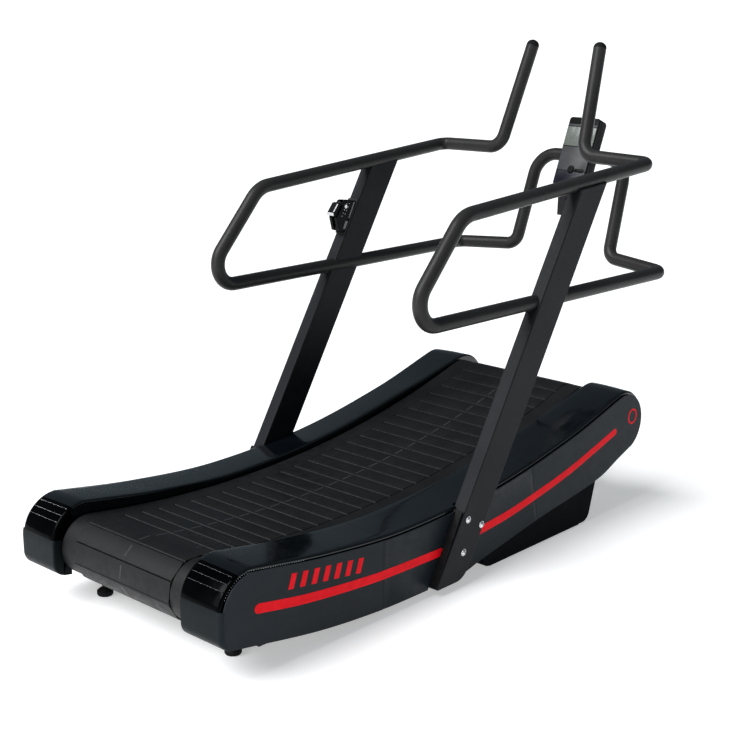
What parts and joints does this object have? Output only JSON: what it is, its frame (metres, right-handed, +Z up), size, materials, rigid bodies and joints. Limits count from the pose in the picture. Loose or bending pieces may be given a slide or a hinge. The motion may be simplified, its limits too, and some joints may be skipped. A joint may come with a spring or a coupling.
{
  "type": "curved manual treadmill",
  "caption": "Curved manual treadmill with a slat belt on drums, magnetic brake lever, tubular handrails with upright horns and a small console",
  "frame": {"origin": "on the floor, under the centre of the whole object", "axes": "+X forwards to the console end, +Y to the runner's left, +Z up"},
  "size_m": [1.9201, 0.8124, 1.3551],
  "materials": {
    "gloss_black": "polished moulded plastic",
    "panel_grey": "satin moulded plastic",
    "black_steel": "satin powder coat",
    "rail_black": "satin powder coat",
    "bare_steel": "zinc plated",
    "alloy": "machined",
    "rubber": "matt",
    "belt_rubber": "textured rubber on slats",
    "plastic_black": "fine grain",
    "face_grey": "satin",
    "screen_grey": "clear window over a display"
  },
  "bodies": {
    "frame": {"brake_cable": "rubber", "console_bridge": "rail_black", "console_clamp": "plastic_black", "console_display": "screen_grey", "console_face": "face_grey", "console_housing": "plastic_black", "console_neck": "plastic_black", "front_cross_tube": "black_steel", "left_base_leg": "plastic_black", "left_front_bearing": "bare_steel", "left_front_cover": "gloss_black", "left_front_foot": "rubber", "left_front_panel": "panel_grey", "left_guide_rail": "bare_steel", "left_handrail": "rail_black", "left_horn_cap": "rubber", "left_middle_cover": "gloss_black", "left_middle_panel": "panel_grey", "left_rear_bearing": "bare_steel", "left_rear_cover": "gloss_black", "left_rear_panel": "panel_grey", "left_side_frame": "black_steel", "left_upright": "black_steel", "left_upright_bolts": "bare_steel", "lever_housing": "gloss_black", "lever_pin": "bare_steel", "magnet_arm_pin": "bare_steel", "middle_cross_tube": "black_steel", "rear_cross_tube": "black_steel", "rear_foot_tube": "black_steel", "right_base_leg": "plastic_black", "right_front_bearing": "bare_steel", "right_front_cover": "gloss_black", "right_front_foot": "rubber", "right_front_panel": "panel_grey", "right_guide_rail": "bare_steel", "right_handrail": "rail_black", "right_horn_cap": "rubber", "right_middle_cover": "gloss_black", "right_middle_panel": "panel_grey", "right_rear_bearing": "bare_steel", "right_rear_cover": "gloss_black", "right_rear_panel": "panel_grey", "right_side_frame": "black_steel", "right_upright": "black_steel", "right_upright_bolts": "bare_steel", "slat_belt": "belt_rubber", "transport_axle": "bare_steel"},
    "front_shaft": {"front_drum": "alloy", "front_axle": "bare_steel", "brake_flywheel": "bare_steel"},
    "rear_shaft": {"rear_drum": "alloy", "rear_axle": "bare_steel"},
    "left_wheel": {"left_transport_wheel": "rubber"},
    "right_wheel": {"right_transport_wheel": "rubber"},
    "brake_arm": {"magnet_arm": "alloy"},
    "lever": {"resistance_lever": "alloy"},
    "button": {"console_button": "rubber"},
    "left_leveller": {"left_rear_foot": "rubber"},
    "right_leveller": {"right_rear_foot": "rubber"}
  },
  "joints": [
    {"name": "front_drum_spin", "type": "hinge", "parent": "frame", "child": "front_shaft", "pos_m": [0.6072, 0, 0.27508], "axis": [0, 1, 0], "continuous": true},
    {"name": "rear_drum_spin", "type": "hinge", "parent": "frame", "child": "rear_shaft", "pos_m": [-0.86323, 0, 0.1633], "axis": [0, 1, 0], "continuous": true},
    {"name": "left_wheel_spin", "type": "hinge", "parent": "frame", "child": "left_wheel", "pos_m": [0.4092, 0.285, 0.035], "axis": [0, 1, 0], "continuous": true},
    {"name": "right_wheel_spin", "type": "hinge", "parent": "frame", "child": "right_wheel", "pos_m": [0.4092, -0.285, 0.035], "axis": [0, 1, 0], "continuous": true},
    {"name": "resistance_lever_turn", "type": "hinge", "parent": "frame", "child": "lever", "pos_m": [0.21752, 0.3805, 0.87813], "axis": [0, 1, 0], "range_deg": [0, 50]},
    {"name": "brake_arm_turn", "type": "hinge", "parent": "frame", "child": "brake_arm", "pos_m": [0.5368, 0.275, 0.23108], "axis": [0, 1, 0], "range_deg": [-12, 0]},
    {"name": "console_button_press", "type": "slide", "parent": "frame", "child": "button", "axis": [0.9198, 0, -0.3923], "range_m": [0, 0.0015], "stiffness_N_per_m": 300},
    {"name": "left_leveller_turn", "type": "hinge", "parent": "frame", "child": "left_leveller", "pos_m": [-0.8068, 0.245, 0], "axis": [0, 0, 1], "continuous": true},
    {"name": "right_leveller_turn", "type": "hinge", "parent": "frame", "child": "right_leveller", "pos_m": [-0.8068, -0.245, 0], "axis": [0, 0, 1], "continuous": true}
  ],
  "couplings": [
    {"joint": "rear_drum_spin", "follows": "front_drum_spin", "ratio": 1.0435},
    {"joint": "brake_arm_turn", "follows": "resistance_lever_turn", "ratio": -0.24}
  ]
}
